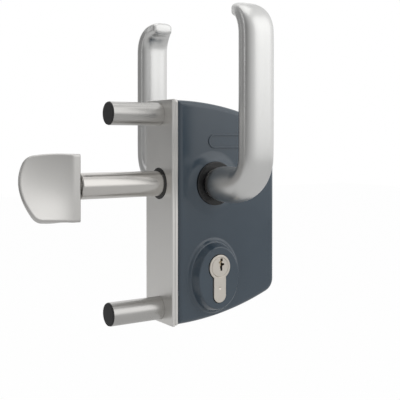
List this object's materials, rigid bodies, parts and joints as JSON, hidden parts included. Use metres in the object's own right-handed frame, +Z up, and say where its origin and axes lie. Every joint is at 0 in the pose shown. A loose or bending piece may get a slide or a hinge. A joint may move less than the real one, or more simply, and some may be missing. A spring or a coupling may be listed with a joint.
{
  "type": "gate lock",
  "caption": "Surface-mounted gate lock: tall narrow case, lever handles, key cylinder and a D-shaped hook on a shaft that turns a quarter turn to hold or free a sliding gate.",
  "frame": {"origin": "on the lock's mounting face, at the middle of its width and half way up its plate", "axes": "+X from the gate post's tube into the gate, out of the mounting face; +Z up; +Y towards the rear handle, so the front handle with the badge faces -Y"},
  "size_m": [0.1883, 0.1504, 0.2158],
  "materials": {
    "case_coating": "fine satin anthracite coating",
    "plate_steel": "brushed stainless",
    "sleeve_steel": "turned stainless",
    "screw_steel": "plain stainless",
    "plain_steel": "zinc-plated",
    "gear_steel": "sintered steel, oiled",
    "hook_steel": "satin bead-blasted stainless",
    "shaft_steel": "ground stainless",
    "handle_steel": "polished satin stainless",
    "cylinder_nickel": "satin nickel-plated brass",
    "plug_brass": "nickel-plated brass, worn at the slot",
    "collar_plastic": "black nylon",
    "bush_plastic": "black nylon",
    "cap_rubber": "black rubber"
  },
  "bodies": {
    "root": {"lock_case": "case_coating", "mounting_plate": "plate_steel", "case_plate": "plate_steel", "case_screws": "screw_steel", "fixing_sleeves": "sleeve_steel", "fixing_bolts": "screw_steel", "fixing_caps": "cap_rubber", "fixing_nut_blocks": "plain_steel", "bolt_bush": "bush_plastic", "bearing_bracket": "plain_steel", "bracket_rivets": "plain_steel", "bracket_bush": "bush_plastic", "collar_front": "collar_plastic", "collar_rear": "collar_plastic", "cylinder_body": "cylinder_nickel", "cylinder_screw": "screw_steel", "slide_guide_pins": "plain_steel"},
    "handle": {"hub_follower": "gear_steel", "spindle": "plain_steel", "handle_front": "handle_steel", "handle_rear": "handle_steel", "handle_screws": "screw_steel"},
    "bolt": {"hook_head": "hook_steel", "head_stud": "screw_steel", "bolt_shaft": "shaft_steel", "stud_lock_screw": "screw_steel", "bolt_pinion": "gear_steel", "pinion_pin": "plain_steel"},
    "key": {"plug_front": "plug_brass", "plug_rear": "plug_brass", "cylinder_cam": "gear_steel"},
    "slide": {"deadlock_slide": "plain_steel"}
  },
  "joints": [
    {"name": "handle_turn", "type": "hinge", "parent": "root", "child": "handle", "pos_m": [0.033, 0, 0.0192], "axis": [0, 1, 0], "range_deg": [0, 90]},
    {"name": "bolt_turn", "type": "hinge", "parent": "root", "child": "bolt", "pos_m": [0, 0, 0.0192], "axis": [1, 0, 0], "range_deg": [0, 90]},
    {"name": "key_turn", "type": "hinge", "parent": "root", "child": "key", "pos_m": [0.033, 0, -0.0382], "axis": [0, -1, 0], "range_deg": [0, 60]},
    {"name": "deadlock_travel", "type": "slide", "parent": "root", "child": "slide", "axis": [0, 0, 1], "range_m": [0, 0.0122]}
  ],
  "couplings": [
    {"joint": "bolt_turn", "follows": "handle_turn", "ratio": 1},
    {"joint": "key_turn", "follows": "deadlock_travel", "rad_per_m": 85.8}
  ]
}
